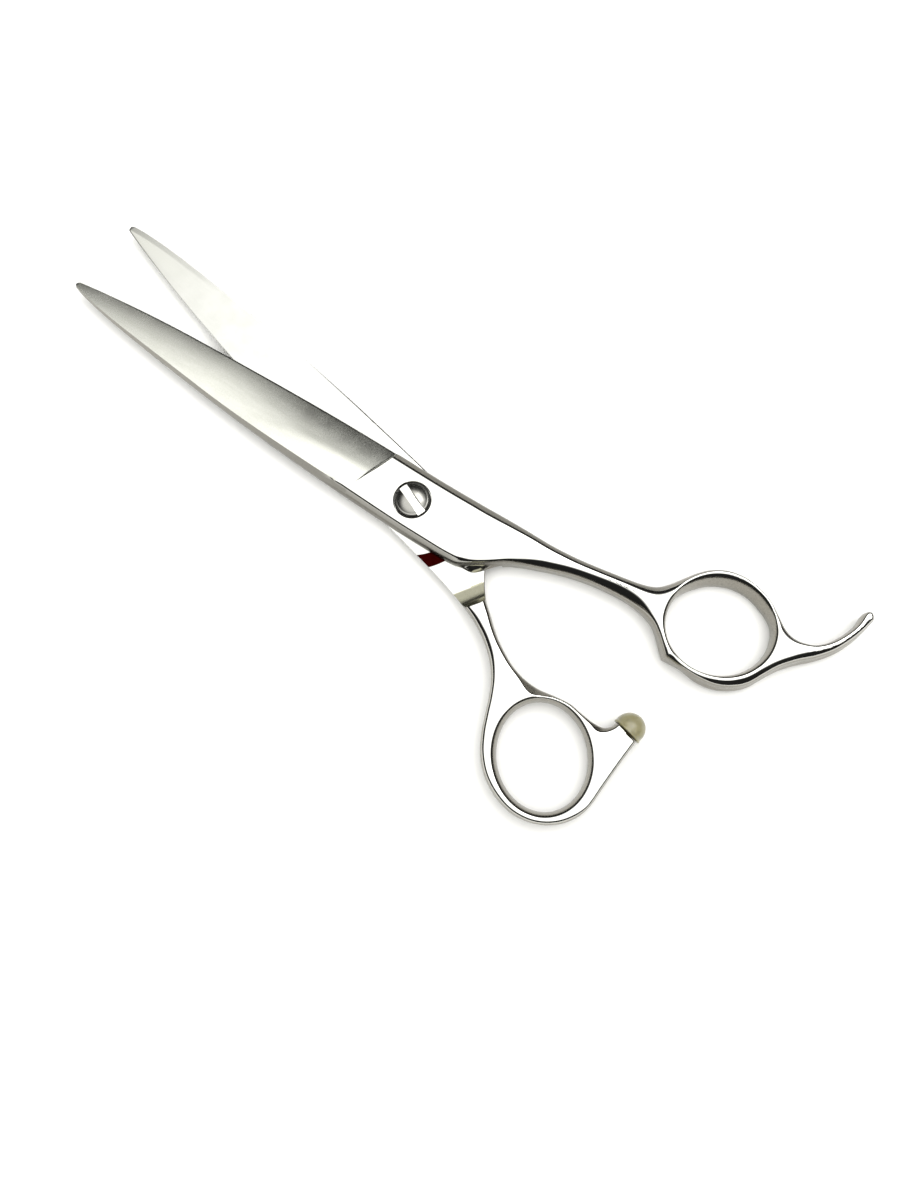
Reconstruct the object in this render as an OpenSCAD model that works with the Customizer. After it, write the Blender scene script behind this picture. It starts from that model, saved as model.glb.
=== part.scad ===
// Hair cutting shears with an offset handle, shown slightly open.
// Origin: on the pivot axis, at the level of the surface the shears lie on.
// +X runs from the pivot to the finger rings, -X to the tips, +Z to the screw head.
// The finger half (top blade) stays put; the thumb half turns about Z under it.

/* [Which part] */
// part to show, or all of them

/* [Pose] */
// how far the blades stand open, degrees
open_deg = 11; // [0:1:60]

/* [Blades] */
// pivot to tip, mm
blade_reach = 89.4; // [84:0.2:95]
// height of one blade at the pivot, mm
blade_t = 3.08; // [2.9:0.02:3.3]
// running gap between the two inner faces, mm
ride_gap = 0.04; // [0.03:0.01:0.08]
// radius of the convex outer face, mm
face_r = 42; // [36:1:60]
// depth of the hollow, mm
hollow_depth = 0.16; // [0.08:0.02:0.2]
// edge thickness at the start of the blade, mm
edge_t = 0.75; // [0.65:0.05:1]

/* [Handles] */
// side bevel of shanks and rings, mm
edge_soft = 0.9; // [0.6:0.1:1]
// long half axis of the finger hole, mm
finger_hole_a = 10.0; // [9.4:0.1:10.2]
// short half axis of the finger hole, mm
finger_hole_b = 9.2; // [8.6:0.1:9.4]
// long half axis of the thumb hole, mm
thumb_hole_a = 10.1; // [9.4:0.1:10.3]
// short half axis of the thumb hole, mm
thumb_hole_b = 9.1; // [8.6:0.1:9.3]
// how much the hole wall swells inward at mid height, as a share of the side bevel
swell_k = 0.9; // [0.5:0.1:1]

/* [Pivot] */
// screw head diameter, mm
head_d = 7.0; // [6.4:0.1:7.2]
// screw shank diameter, mm
shank_d = 4.0; // [3.6:0.1:4]
// width of the slot in the screw head, mm
slot_w = 1.7; // [1.2:0.1:2]
// direction of the slot, degrees
slot_deg = -21; // [-90:1:90]
// running clearance on the screw shank, mm on radius
run_fit = 0.03; // [0.02:0.01:0.06]

/* [Bumper] */
// bumper diameter, mm
bumper_d = 6.0; // [5.4:0.1:6]
// height of the bumper above its seat, mm
bumper_h = 4.0; // [3.6:0.05:4]

/* [Hidden] */
top_z = 2 * blade_t + ride_gap;       // upper face of both halves
ride_lo = blade_t;                    // inner face of the thumb blade
ride_hi = blade_t + ride_gap;         // inner face of the finger blade
reach_k = blade_reach / 89.4;         // stretches the blade outlines only
weld_x = 27;                          // blade and handle meet here
step_x = 21.8;                        // inner face of the finger half ends here
sink_d = 7.7;                         // recess for head and washer
sink_z = top_z - 1.0;
nut_d = 7.5;
nut_h = 1.5;
ride_d = 9.0;
ride_h = 0.4;
bush_d = 5.6;
seat_x = 61.1;                        // bumper seat on the horn of the thumb ring
seat_y = -2.85;
stem_d = 2.4;
stem_l = 3.6;
stop_y = 1.2;                         // stop flat on the finger ring
slack = 0.02;                         // small gap between seated pieces

// ---------- smooth outlines through a few points ----------
function mix3(a, b, c, d, t) =
    0.5 * (2 * b + (c - a) * t + (2 * a - 5 * b + 4 * c - d) * t * t
    + (3 * b - a - 3 * c + d) * t * t * t);
function bend(p, n = 3) = let (m = len(p) - 1)
    [for (i = [0 : m - 1]) for (k = [0 : n - 1])
        mix3(p[max(i - 1, 0)], p[i], p[i + 1], p[min(i + 2, m)], k / n)];
function unit(v) = v / max(norm(v), 1e-6);
function side(p, i) = let (n = len(p), d = unit(p[(i + 1) % n] - p[(i + n - 1) % n]))
    [d[1], -d[0]];
// bevels fade out towards the two ends of a piece: e = [x, length, x, length]
function fade(x, e) = max(0.12, min(1, (x - e[0]) / e[1], (e[2] - x) / e[3]));
function shrink(p, s, e) = [for (i = [0 : len(p) - 1]) p[i] - side(p, i) * s * fade(p[i][0], e)];
blade_ends = [-92, 30, 30.6, 3];
fh_ends = [22.1, 3, 89, 9];
th_ends = [23.8, 2.4, 90, 9];
no_ends = [-200, 1, 200, 1];

// a flat plate built up in steps: each step is [from z, to z, how far the wall stands in]
module plate(p, steps, e = no_ends, hole = []) {
    for (t = steps)
        translate([0, 0, t[0]])
            linear_extrude(t[1] - t[0])
                difference() {
                    polygon(shrink(p, t[2], e));
                    if (len(hole) > 0)
                        polygon(oval(hole[0], hole[1] + t[2] * swell_k, hole[2] + t[2] * swell_k, hole[3]));
                }
}

// stepped long edges, z = 0 to z = h
function bevel(h, c) = [[0, 0.35 * c, 0.6 * c], [0.35 * c, h - 0.35 * c, 0], [h - 0.35 * c, h, 0.6 * c]];
function soft(h, c) = [[0, 0.2 * c, 0.75 * c], [0.2 * c, 0.65 * c, 0.3 * c], [0.65 * c, h - 0.65 * c, 0],
    [h - 0.65 * c, h - 0.2 * c, 0.3 * c], [h - 0.2 * c, h, 0.75 * c]];

function oval(c, a, b, turn, n = 60) = [for (i = [0 : n - 1]) let (t = 360 * i / n)
    [c[0] + a * cos(t) * cos(turn) - b * sin(t) * sin(turn),
     c[1] + a * cos(t) * sin(turn) + b * sin(t) * cos(turn)]];

// ---------- outlines, counter-clockwise, tips to the left ----------
// back of a blade, tip to pivot, and its cutting edge, pivot to tip
back_line = [[-88.9, -0.7], [-86, -1.4], [-81.2, -2.2], [-75.3, -2.95], [-65.8, -3.85],
    [-54.5, -4.75], [-44.4, -5.45], [-34, -6], [-23, -6.35], [-12, -6.5]];
edge_line = [[-9, 6.65], [-18, 6.4], [-26, 6.1], [-34, 5.7], [-42, 5.25], [-50.6, 4.7],
    [-61, 4], [-68, 3.4], [-75, 2.65], [-81, 1.9], [-86, 1.2], [-89.2, 0.7]];
function reach(p) = [for (q = p) [q[0] * reach_k, q[1]]];
function flip(p) = [for (i = [len(p) - 1 : -1 : 0]) [p[i][0], -p[i][1]]];

// finger half, pivot to weld below, weld to pivot above
finger_low = [[-12, -6.5], [-1, -6.55], [6, -6.4], [10.8, -6.25], [13.6, -5.9], [15.4, -5.1],
    [17.2, -4], [19.6, -2.3], [22.5, -0.2], [24.8, 1], [27, 2], [30.2, 3.3]];
finger_up = [[30.3, 8.05], [27, 7.8], [22.8, 7.7], [17, 7.5], [11.2, 7.2], [5.5, 6.95], [0, 6.8], [-9, 6.65]];
finger_line = concat(bend(reach(back_line)), bend(finger_low), [[30.2, 3.3]],
    bend(finger_up), bend(reach(edge_line)), [edge_line[11]]);

// thumb half, drawn closed: the blade outline turned over, its own shank root
thumb_low = [[-9, -6.65], [0, -6.8], [5.5, -6.85], [11.2, -6.95], [16.5, -7.15], [21, -7.6],
    [24.5, -8.1], [27, -8.75], [29.8, -9.75]];
thumb_up = [[29.7, -6.6], [27, -5.1], [24.4, -3.7], [22, -1.8], [19.6, 0.7], [17.6, 3], [15.6, 5],
    [13.6, 5.9], [10.8, 6.25], [6, 6.4], [-1, 6.55], [-12, 6.5]];
thumb_line = concat(bend(reach(flip(edge_line))), bend(thumb_low), [[29.8, -9.75]],
    bend(thumb_up), bend(reach(flip(back_line))), [[-88.9 * reach_k, 0.7]]);

// finger handle: shank, ring and finger rest
fh_low = [[22.5, -0.2], [24.8, 1], [27, 2], [30.2, 3.3], [33.8, 4.6], [37.7, 5.6], [41.8, 6.3], [46, 6.6],
    [49.5, 6.3], [52.1, 5.5], [54, 4.3], [55.9, 2.7], [57.6, stop_y]];
fh_ring = [[57.6, stop_y], [61.5, stop_y], [65.2, stop_y + 0.1], [68.6, 2], [71.4, 3.6],
    [73.5, 5.8], [75, 8.8], [76.5, 11.6], [78.6, 14.3], [81.2, 17], [83.6, 20.3],
    [85.3, 24.3], [86.2, 28], [86.2, 29.4], [85.2, 30.3], [84.2, 29.5], [84, 26.5],
    [83, 23.5], [81.6, 21], [79.9, 19.2], [78, 18.2], [75.9, 17.9], [73.7, 18.5],
    [71.3, 20], [68.5, 21.7], [65.4, 22.7], [62.2, 23], [59, 22.4], [56.4, 21],
    [54.4, 19.1], [52.7, 16.7], [51, 14.2], [49.2, 12.3], [46.6, 11.1], [43, 10.2],
    [38.5, 9.3], [34, 8.5], [30.3, 8.05], [27, 7.8], [22.8, 7.7]];
fh_line = concat(bend(fh_low), bend(fh_ring), [[22.8, 7.7]]);
fh_hole = [63.1, 12];
fh_turn = 25;

// thumb handle: shank, ring and the horn for the bumper
th_low = [[24.5, -8.1], [27, -8.75], [29.8, -9.75], [33.2, -11.6], [36.1, -13.9], [38.4, -16.5],
    [40.3, -19.4], [42.3, -22.3], [44.9, -25.2], [48.2, -27.6], [52, -28.9], [56.2, -29.1],
    [60.2, -27.8], [63.3, -25.3], [65.3, -22], [66, -18.2]];
th_horn = [[66, -18.2], [65.2, -13], [64.4, -8], [63.7, seat_y]];
th_back = [[58.6, seat_y], [58.2, -5.7], [57, -6.2], [55.2, -6.3], [52.6, -6.4],
    [50, -6.6], [47, -7.6], [43.7, -8.9], [40.4, -9.4], [36.8, -9.1], [32.7, -7.9],
    [29.7, -6.6], [27, -5.1], [24.4, -3.7]];
th_line = concat(bend(th_low), bend(th_horn), [[63.7, seat_y]], bend(th_back), [[24.4, -3.7]]);
th_hole = [53.5, -17];
th_turn = -38;

// ---------- shared cutters ----------
// a side profile in X and Z, drawn through the whole width
module through_y(profile) {
    translate([0, 40, 0]) rotate([90, 0, 0]) linear_extrude(80) polygon(profile);
}

// clears everything above the convex outer face of the finger blade
module outer_face_cut() {
    tilt = atan((6.65 - 0.7) / 80);
    lean = 17;
    arc = [for (i = [0 : 10]) let (t = lean + 2 - i * 2.3)
        [face_r * (sin(t) - sin(lean)), face_r * (cos(t) - cos(lean))]];
    translate([-9, 6.65, ride_hi + edge_t]) rotate([0, 0, tilt]) rotate([90, 0, -90])
        translate([0, 0, 1.2]) linear_extrude(100)
            polygon(concat([for (p = arc) [-p[0], p[1]]], [[18, 9], [-4, 9]]));
}

// shallow hollow in an inner face at height z, up = 1 cuts upward, -1 downward
module hollow_cut(z, up) {
    w = 4.6;
    arc = [for (i = [-4 : 4]) [i * w / 4, z + up * hollow_depth * (1 - i * i / 16)]];
    translate([-70, 0, 0]) rotate([90, 0, 90]) linear_extrude(54)
        polygon(concat(arc, [[w, z - up], [-w, z - up]]));
}

module in_thumb_pose() {
    rotate([0, 0, -open_deg]) children();
}

// ---------- finger half ----------
module finger_blade() {
    color([0.78, 0.78, 0.77])
    difference() {
        plate(finger_line, bevel(top_z, edge_soft), blade_ends);
        // room for the thumb blade below the ride plane
        translate([-110, -20, -1]) cube([110 + step_x, 40, ride_hi + 1]);
        outer_face_cut();
        hollow_cut(ride_hi, 1);
        translate([weld_x, -20, -1]) cube([20, 40, 10]);
        cylinder(d = bush_d, h = 10, $fn = 96);
        translate([0, 0, sink_z]) cylinder(d = sink_d, h = 4, $fn = 96);
    }
}

module finger_handle() {
    color([0.82, 0.82, 0.81])
    difference() {
        plate(fh_line, soft(top_z, edge_soft), fh_ends, [fh_hole, finger_hole_a, finger_hole_b, fh_turn]);
        translate([weld_x - 20, -20, -1]) cube([20, 40, 10]);
    }
}

module pivot_bush() {
    color([0.72, 0.6, 0.36])
    translate([0, 0, ride_hi + slack])
    difference() {
        cylinder(d = bush_d - 2 * slack, h = sink_z - ride_hi - 2 * slack, $fn = 96);
        translate([0, 0, -1]) cylinder(d = shank_d + 2 * run_fit, h = 6, $fn = 96);
    }
}

module disc_washer() {
    color([0.2, 0.2, 0.21])
    translate([0, 0, sink_z])
    difference() {
        cylinder(d = sink_d - 0.3, h = 0.3, $fn = 96);
        translate([0, 0, -1]) cylinder(d = shank_d + 0.4, h = 3, $fn = 96);
    }
}

module pivot_screw() {
    head_z = sink_z + 0.3 + slack;
    rim = top_z - head_z + 0.25;
    dome = 0.95;
    dome_r = (head_d * head_d / 4 + dome * dome) / (2 * dome);
    color([0.7, 0.7, 0.69])
    difference() {
        union() {
            translate([0, 0, head_z]) cylinder(d = head_d, h = rim, $fn = 96);
            intersection() {
                translate([0, 0, head_z + rim + dome - dome_r]) sphere(r = dome_r, $fn = 120);
                translate([0, 0, head_z + rim / 2]) cylinder(d = head_d, h = 4, $fn = 96);
            }
            translate([0, 0, 0.3]) cylinder(d = shank_d, h = head_z, $fn = 96);
        }
        rotate([0, 0, slot_deg])
            translate([-10, -slot_w / 2, head_z + rim + dome - 1.25]) cube([20, slot_w, 4]);
    }
}

// ---------- thumb half ----------
module thumb_blade() {
    color([0.8, 0.8, 0.78])
    in_thumb_pose()
    difference() {
        plate(thumb_line, bevel(top_z, edge_soft), blade_ends);
        // room for the finger blade, then a sloping step up to the full shank
        rotate([0, 0, -22]) through_y([[-120, ride_lo], [20.8, ride_lo],
            [20.8 + 4.2 * 2, ride_lo + 3.2 * 2], [-120, ride_lo + 3.2 * 2]]);
        translate([0, 0, top_z]) rotate([180, 0, 0]) outer_face_cut();
        hollow_cut(ride_lo, -1);
        translate([weld_x, -20, -1]) cube([20, 40, 10]);
        translate([0, 0, -1]) cylinder(d = shank_d + 2 * run_fit, h = 10, $fn = 96);
        translate([0, 0, -1]) cylinder(d = nut_d + 2 * slack, h = nut_h + 1, $fn = 96);
        translate([0, 0, ride_lo - ride_h + slack]) cylinder(d = ride_d + 2 * slack, h = 4, $fn = 96);
    }
}

module ride_washer() {
    color([0.45, 0.1, 0.1])
    in_thumb_pose()
    translate([0, 0, ride_lo - ride_h + slack])
    difference() {
        cylinder(d = ride_d, h = ride_h, $fn = 96);
        translate([0, 0, -1]) cylinder(d = shank_d + 0.3, h = 3, $fn = 96);
    }
}

module pivot_nut() {
    color([0.68, 0.68, 0.66])
    in_thumb_pose()
    difference() {
        cylinder(d = nut_d, h = nut_h - slack, $fn = 96);
        translate([0, 0, -1]) cylinder(d = shank_d + 2 * run_fit, h = 4, $fn = 96);
        for (s = [-1, 1])
            translate([s * 2.9, 0, -1]) cylinder(d = 1, h = 1.8, $fn = 32);
    }
}

module thumb_handle() {
    color([0.82, 0.82, 0.81])
    in_thumb_pose()
    difference() {
        plate(th_line, soft(top_z, edge_soft), th_ends, [th_hole, thumb_hole_a, thumb_hole_b, th_turn]);
        translate([weld_x - 20, -20, -1]) cube([20, 40, 10]);
        translate([seat_x, seat_y - stem_l - slack, top_z / 2]) rotate([-90, 0, 0])
            cylinder(d = stem_d + 2 * slack, h = 8, $fn = 64);
    }
}

module bumper() {
    r = bumper_d / 2;
    body = bumper_h - r;
    color([0.62, 0.6, 0.47])
    in_thumb_pose()
    translate([seat_x, seat_y + slack, top_z / 2]) rotate([-90, 0, 0]) {
        cylinder(r = r, h = body, $fn = 96);
        intersection() {
            translate([0, 0, body]) sphere(r = r, $fn = 96);
            translate([0, 0, body / 2]) cylinder(r = r, h = 10, $fn = 96);
        }
        translate([0, 0, -stem_l]) cylinder(d = stem_d, h = stem_l + 0.5, $fn = 64);
    }
}

finger_blade();
finger_handle();
pivot_bush();
disc_washer();
pivot_screw();
ride_washer();
thumb_blade();
thumb_handle();
pivot_nut();
bumper();
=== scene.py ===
import math

import bmesh
import bpy
import numpy as np
from mathutils import Matrix


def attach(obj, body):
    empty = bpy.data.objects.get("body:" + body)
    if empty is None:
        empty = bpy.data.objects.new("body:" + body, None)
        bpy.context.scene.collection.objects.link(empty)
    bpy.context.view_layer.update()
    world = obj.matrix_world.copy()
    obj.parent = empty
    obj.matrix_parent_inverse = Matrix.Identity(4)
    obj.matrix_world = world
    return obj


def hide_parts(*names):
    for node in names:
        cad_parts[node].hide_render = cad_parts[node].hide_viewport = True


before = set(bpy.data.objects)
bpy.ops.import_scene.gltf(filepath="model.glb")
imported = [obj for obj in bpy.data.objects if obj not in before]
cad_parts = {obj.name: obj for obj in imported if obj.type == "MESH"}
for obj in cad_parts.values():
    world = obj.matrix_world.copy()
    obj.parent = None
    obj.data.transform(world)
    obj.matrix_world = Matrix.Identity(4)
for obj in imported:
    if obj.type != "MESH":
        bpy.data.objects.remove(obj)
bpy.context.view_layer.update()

# -------- sizes, in millimetres
MM = 0.001
TOP = 6.2            # upper face of both halves
RIDE = 3.12          # inner face of the finger half, and of the thumb half turned over
WELD = 27.0          # blade and handle meet here
OPEN = 11.0          # degrees the halves stand apart at rest
GRID = 0.24   # mesh spacing of the handles
SINK_R = 3.85        # recess round the screw head: its radius and the height of its floor
SINK_Z = 5.2
HEAD_R = 3.4         # screw head
SLOT_TURN = 21       # degrees the screw's slot stands off the X axis
STOP_Y = 1.2         # lower side of the finger ring, where the bumper lands
SEAT = (61.1, -2.85)  # bumper seat on the thumb ring's horn, shears closed
SEAT_Z = 3.1
TIP_X = -88.6        # where the blade's round tip starts, and its radius
TIP_R = 0.76

# Outlines with the shears closed along X and the pivot at 0. BACK and EDGE are the finger
# blade's, from the tip and from the pivot; the thumb blade's are the same turned over.
BACK = [(-88.9, -0.7), (-86, -1.4), (-81.2, -2.2), (-75.3, -2.95), (-65.8, -3.85),
        (-54.5, -4.75), (-44.4, -5.45), (-34, -6), (-23, -6.35), (-12, -6.5)]
EDGE = [(-9, 6.65), (-18, 6.4), (-26, 6.1), (-34, 5.7), (-42, 5.25), (-50.6, 4.7),
        (-61, 4), (-68, 3.4), (-75, 2.65), (-81, 1.9), (-86, 1.2), (-89.2, 0.7)]

# finger half: below from the blade to the stop corner, then round the ring and the finger
# rest and back along the upper side
F_LOW = [(-12, -6.5), (-1, -6.55), (6, -6.4), (10.8, -6.25), (13.6, -5.9), (15.4, -5.1),
         (17.2, -4), (19.6, -2.3), (22.5, -0.2), (24.8, 1), (27, 2), (30.2, 3.3), (33.8, 4.6),
         (37.7, 5.6), (41.8, 6.3), (46, 6.6), (49.5, 6.3), (52.1, 5.5), (54, 4.3),
         (55.9, 2.7), (57.6, STOP_Y)]
F_RING = [(57.6, STOP_Y), (61.5, STOP_Y), (65.2, 1.3), (68.6, 2), (71.4, 3.6), (73.5, 5.8),
          (75, 8.8), (76.5, 11.6), (78.6, 14.3), (81.2, 17), (83.6, 20.3), (85.3, 24.3),
          (86.2, 28), (86.2, 29.4), (85.2, 30.3), (84.2, 29.5), (84, 26.5), (83, 23.5),
          (81.6, 21), (79.9, 19.2), (78, 18.2), (75.9, 17.9), (73.7, 18.5), (71.3, 20),
          (68.5, 21.7), (65.4, 22.7), (62.2, 23), (59, 22.4), (56.4, 21), (54.4, 19.1),
          (52.7, 16.7), (51, 14.2), (49.2, 12.3), (46.6, 11.1), (43, 10.2), (38.5, 9.3),
          (34, 8.5), (30.3, 8.05), (27, 7.8), (22.8, 7.7), (17, 7.5), (11.2, 7.2),
          (5.5, 6.95), (0, 6.8), (-9, 6.65)]
F_HOLE = ((63.1, 12), 10.0, 9.2, 25)   # centre, half axes, degrees turned

# thumb half: below from the blade round the ring to the bumper's seat, then back
T_LOW = [(-9, -6.65), (0, -6.8), (5.5, -6.85), (11.2, -6.95), (16.5, -7.15), (21, -7.6),
         (24.5, -8.1), (27, -8.75), (29.8, -9.75), (33.2, -11.6), (36, -13.95), (38.1, -16.6),
         (40, -19.55), (42, -22.5), (44.6, -25.4), (48, -27.7), (52, -28.95), (56.2, -29.1),
         (60.2, -27.8), (63.3, -25.3), (65.3, -22), (66, -18.2), (65.2, -13), (64.4, -8),
         (63.7, SEAT[1])]
T_BACK = [(58.6, SEAT[1]), (58.4, -4.2), (57.4, -5.45), (55.4, -6.1), (52.6, -6.4), (50, -6.6),
          (47, -7.6), (43.7, -8.9), (40.4, -9.4), (36.8, -9.1), (32.7, -7.9), (29.7, -6.6),
          (27, -5.1), (24.4, -3.7), (22, -1.8), (19.6, 0.7), (17.6, 3), (15.6, 5),
          (13.6, 5.9), (10.8, 6.25), (6, 6.4), (-1, 6.55), (-12, 6.5)]
T_HOLE = ((53.2, -17.45), 10.3, 8.6, -38)


# -------- curves and distances
def bend(points, n=8):
    """A smooth open curve through the points, its last point left out."""
    p = np.asarray(points, float)
    last = len(p) - 1
    out = []
    for i in range(last):   # Catmull-Rom, point by point
        a, b, c, d = p[max(i - 1, 0)], p[i], p[i + 1], p[min(i + 2, last)]
        for t in np.arange(n) / n:
            out.append(0.5 * (2 * b + (c - a) * t + (2 * a - 5 * b + 4 * c - d) * t * t
                              + (3 * b - a - 3 * c + d) * t ** 3))
    return np.array(out)


def oval(hole, n=240):
    """Points round an oval given as its centre, half axes and turn in degrees."""
    (cx, cy), a, b, turn = hole
    t = np.arange(n) * 2 * math.pi / n
    c, s = math.cos(math.radians(turn)), math.sin(math.radians(turn))
    x, y = a * np.cos(t), b * np.sin(t)
    return np.stack([cx + x * c - y * s, cy + x * s + y * c], 1)


class Outline:
    """A closed counter-clockwise outline."""

    def __init__(self, points):
        self.a = np.asarray(points, float)
        self.b = np.roll(self.a, -1, 0)
        self.d = self.b - self.a
        self.len2 = (self.d ** 2).sum(1)
        edge = np.stack([self.d[:, 1], -self.d[:, 0]], 1) / np.sqrt(self.len2)[:, None]
        corner = edge + np.roll(edge, 1, 0)
        self.normal = corner / np.linalg.norm(corner, axis=1)[:, None]
        self.edge = edge
        self.flat = self.a.T.astype(np.float32)
        self.size2 = (self.flat ** 2).sum(0)

    def near(self, p, chunk=6000):
        """Distance (inside negative) and smooth outward unit normal at the nearest point."""
        dist = np.empty(len(p))
        normal = np.empty((len(p), 2))
        for s in range(0, len(p), chunk):
            q = p[s:s + chunk]
            first = (self.size2 - 2 * (q.astype(np.float32) @ self.flat)).argmin(1)
            k = (first[:, None] + np.arange(-3, 3)) % len(self.a)
            rel = q[:, None, :] - self.a[k]
            t = np.clip((rel * self.d[k]).sum(2) / self.len2[k], 0, 1)
            off = rel - t[..., None] * self.d[k]
            d2 = (off ** 2).sum(2)
            best = d2.argmin(1)
            r = np.arange(len(q))
            k, tk, off = k[r, best], t[r, best][:, None], off[r, best]
            n = self.normal[k] * (1 - tk) + self.normal[(k + 1) % len(self.a)] * tk
            n /= np.linalg.norm(n, axis=1)[:, None]
            side = (off * self.edge[k]).sum(1)
            side = np.where(np.abs(side) > 1e-9, side, (off * n).sum(1))
            dist[s:s + chunk] = np.sqrt(d2[r, best]) * np.where(side >= 0, 1, -1)
            normal[s:s + chunk] = n
        return dist, normal


def smooth(a, b, x):
    """0 at x = a, 1 at x = b, level at both ends; a may be the larger."""
    t = np.clip((x - a) / (b - a), 0, 1)
    return t * t * (3 - 2 * t)


def near_to(x, at, width):
    """1 at x = at, falling off to both sides."""
    return np.exp(-((x - at) / width) ** 2)


def join_max(a, b, k):
    """The larger of a and b, with a rounded corner of about k."""
    h = np.maximum(k - np.abs(a - b), 0) / k
    return np.maximum(a, b) + h * h * k / 4


def unit(v):
    return v / np.maximum(np.linalg.norm(v, axis=1), 1e-9)[:, None]


# -------- the halves as solids
class Half:
    """One half's shank and ring: a rounded, bevelled plate round its outline and hole.

    In all methods ny is the Y part of the outline's normal, -1 on lower sides and 1 on upper
    ones; t is the height, from -1 at the foot to 1 at the top; up is 0 below mid height and 1
    above. Each kind of half has bead(x), 1 round its ring; bevel(x, ny, up), the width of the
    bevel between side and face; tilt(x, ny), its slope; and round_out(x, ny), its rounding."""

    crown = 0.3   # how far the sides fall back towards the faces
    swell = 0.0   # how far the hole widens towards its ends
    rim = 0.0     # width of the chamfer above the hole's far side
    draft = 0.0   # how far the hole's far side leans in at its foot
    foot = 0.0    # how far the ring's lower side stands out at its foot
    roll = 0.0    # how far that side falls back towards the faces, over the crown

    def __init__(self, outline, hole):
        self.outline = Outline(outline)
        self.hole = Outline(oval(hole))
        self.hole_c = hole[0]

    def half_height(self, x):
        return np.full_like(x, TOP / 2)

    def flare(self, x, ny, t):
        """How far the side stands out beyond the outline."""
        return 0

    def value(self, x, y, z, out, ny, inn):
        """Below zero inside. out and inn are distances to the outline and to the hole's wall."""
        mid = TOP / 2
        half_z = self.half_height(x)
        t = np.clip((z - mid) / half_z, -1.3, 1.3)
        w = np.abs(z - mid) - half_z
        up = smooth(-0.2, 0.2, t)
        # round the rings the lower side stands out at its foot, but not where the bumper lands
        bead = self.bead(x) * smooth(0.1, -0.5, ny)
        wall = out + (self.crown + self.roll * bead) * t * t
        wall = wall - self.foot * bead * smooth(0.2, -0.6, t) * (1 - near_to(x, SEAT[0], 3.0))
        wall = wall - self.flare(x, ny, t)
        tilt = self.tilt(x, ny)
        cut = (wall + w * tilt + self.bevel(x, ny, up)) / np.hypot(1, tilt)
        # the far side of the hole leans in towards its foot and has a chamfer above
        far = smooth(2.5, 7.5, y - self.hole_c[1] - 0.3 * (x - self.hole_c[0]))
        bore = self.swell * t * t - inn - self.draft * far * smooth(0.8, -1, t)
        chamfer = bore + w * 1.05 + self.rim * far * up - 0.6 * (1 - far * up)
        f = join_max(wall, w, 0.35)
        f = join_max(f, cut, self.round_out(x, ny))
        f = join_max(f, chamfer / 1.45, 0.3)
        return join_max(f, bore, 0.8 - 0.4 * far)

    def field(self, p):
        """Value and gradient at points p (n, 3)."""
        out, n_out = self.outline.near(p[:, :2])
        inn, n_in = self.hole.near(p[:, :2])
        x, y, z = p.T
        ny = n_out[:, 1]
        e = 1e-3
        base = self.value(x, y, z, out, ny, inn)
        d_out = (self.value(x, y, z, out + e, ny, inn) - base) / e
        d_in = (self.value(x, y, z, out, ny, inn + e) - base) / e
        dx = (self.value(x + e, y, z, out, ny, inn) - base) / e
        dy = (self.value(x, y + e, z, out, ny, inn) - base) / e
        dz = (self.value(x, y, z + e, out, ny, inn) - base) / e
        grad = np.stack([dx + d_out * n_out[:, 0] + d_in * n_in[:, 0],
                         dy + d_out * n_out[:, 1] + d_in * n_in[:, 1], dz], 1)
        return base, grad

    def settle(self, p, steps=4, keep_x=False):
        """Points moved onto the surface, and its normals there."""
        for _ in range(steps):
            f, g = self.field(p)
            if keep_x:
                g = g * (0, 1, 1)
            size = np.maximum((g ** 2).sum(1), 0.05)
            p = p - np.clip(f / size, -0.4, 0.4)[:, None] * g
        return p, unit(self.field(p)[1])


class FingerHalf(Half):
    swell = 0.5
    rim = 1.0
    draft = 0.9
    foot = 0.5
    roll = 0.35

    def bead(self, x):
        return smooth(52, 60, x)

    def tilt(self, x, ny):
        lower = smooth(0.15, -0.35, ny)
        return (0.95 - 0.5 * smooth(18, 12, x)) * lower + 0.8 * (1 - lower)

    def round_out(self, x, ny):
        full = 0.45 + 0.4 * smooth(40, 52, x) - 0.62 * smooth(74, 79, x)
        return full - (full - 0.3) * smooth(-0.1, -0.4, ny) * smooth(54, 58, x)

    def flare(self, x, ny, t):
        return 1.25 * near_to(x, 18.0, 2.3) * smooth(-0.2, -0.6, ny) * smooth(0.5, 0.05, t)

    def half_height(self, x):
        """The finger rest gets thinner towards its end."""
        return TOP / 2 - 1.0 * smooth(77, 87, x)

    def bevel(self, x, ny, up):
        lower = smooth(0.15, -0.35, ny)
        shank = smooth(10, 26, x) * smooth(53, 45, x)
        root = smooth(26, 12, x)
        rest = smooth(74, 80, x)
        low = 1.0 * smooth(20, 12, x) + 0.45 * smooth(12, 20, x)
        low = low + 0.85 * smooth(20, 29, x) * smooth(54, 47, x) + 0.45 * near_to(x, 46, 5)
        low = low + 0.45 * smooth(57, 60, x) * smooth(76, 71, x)
        low = low + 0.3 * smooth(70, 76, x) - 0.2 * smooth(80, 84, x)
        high = 1.25 * root + 0.9 * shank + 0.4 * (1 - root - shank)
        high = high - 0.25 * rest + 0.85 * near_to(x, 50.5, 3.4)
        top = low * lower + high * (1 - lower)
        return top * up + (0.4 + 0.5 * shank + 0.4 * rest) * (1 - up)


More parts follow.
